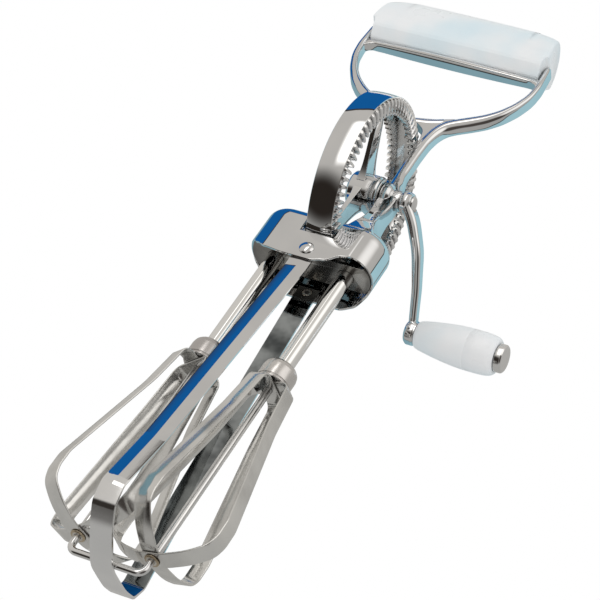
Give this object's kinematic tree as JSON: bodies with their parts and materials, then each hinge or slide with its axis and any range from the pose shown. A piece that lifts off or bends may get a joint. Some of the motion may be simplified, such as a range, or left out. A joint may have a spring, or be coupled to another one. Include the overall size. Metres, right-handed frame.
{
  "type": "rotary hand beater",
  "caption": "Crank-driven rotary hand beater: looped metal frame with a plastic grip, a crown wheel on the crank, and two counter-rotating strip-bladed beaters side by side.",
  "frame": {"origin": "middle of the plastic grip", "axes": "+Z from the beaters up to the grip, +X along the grip towards the crank side, -Y the front face with the domed rivet"},
  "size_m": [0.1166, 0.082, 0.3236],
  "materials": {
    "chrome_plate": "polished",
    "white_plastic": "glossy",
    "brass": "dull",
    "bright_steel": "polished",
    "stainless_strip": "satin",
    "gear_steel": "satin"
  },
  "bodies": {
    "handle": {"frame": "chrome_plate", "grip": "white_plastic", "bearing_bridge": "bright_steel", "pinion_washers": "brass", "front_rivet": "chrome_plate", "back_rivet": "brass", "centre_strip": "bright_steel", "pivot_wire": "bright_steel"},
    "crank": {"drive_wheel": "chrome_plate", "axle": "chrome_plate", "crank_arm": "chrome_plate", "knob_spindle": "chrome_plate", "knob_cap": "chrome_plate"},
    "crank_knob": {"knob": "white_plastic"},
    "left_beater": {"left_pinion": "gear_steel", "left_shaft": "chrome_plate", "left_collar": "chrome_plate", "left_rod": "bright_steel", "left_blade_outer": "stainless_strip", "left_blade_inner": "stainless_strip", "left_eyelet": "brass"},
    "right_beater": {"right_pinion": "gear_steel", "right_shaft": "chrome_plate", "right_collar": "chrome_plate", "right_rod": "bright_steel", "right_blade_outer": "stainless_strip", "right_blade_inner": "stainless_strip", "right_eyelet": "brass"}
  },
  "joints": [
    {"name": "crank_spin", "type": "hinge", "parent": "handle", "child": "crank", "pos_m": [0, 0, -0.0996], "axis": [1, 0, 0], "continuous": true},
    {"name": "knob_spin", "type": "hinge", "parent": "crank", "child": "crank_knob", "pos_m": [0.0379, 0.03362, -0.13442], "axis": [1, 0, 0], "continuous": true},
    {"name": "left_beater_spin", "type": "hinge", "parent": "handle", "child": "left_beater", "pos_m": [-0.015, 0, -0.17], "axis": [0, 0, 1], "continuous": true},
    {"name": "right_beater_spin", "type": "hinge", "parent": "handle", "child": "right_beater", "pos_m": [0.015, 0, -0.17], "axis": [0, 0, 1], "continuous": true}
  ],
  "couplings": [
    {"joint": "left_beater_spin", "follows": "crank_spin", "ratio": 4},
    {"joint": "right_beater_spin", "follows": "crank_spin", "ratio": -4}
  ]
}
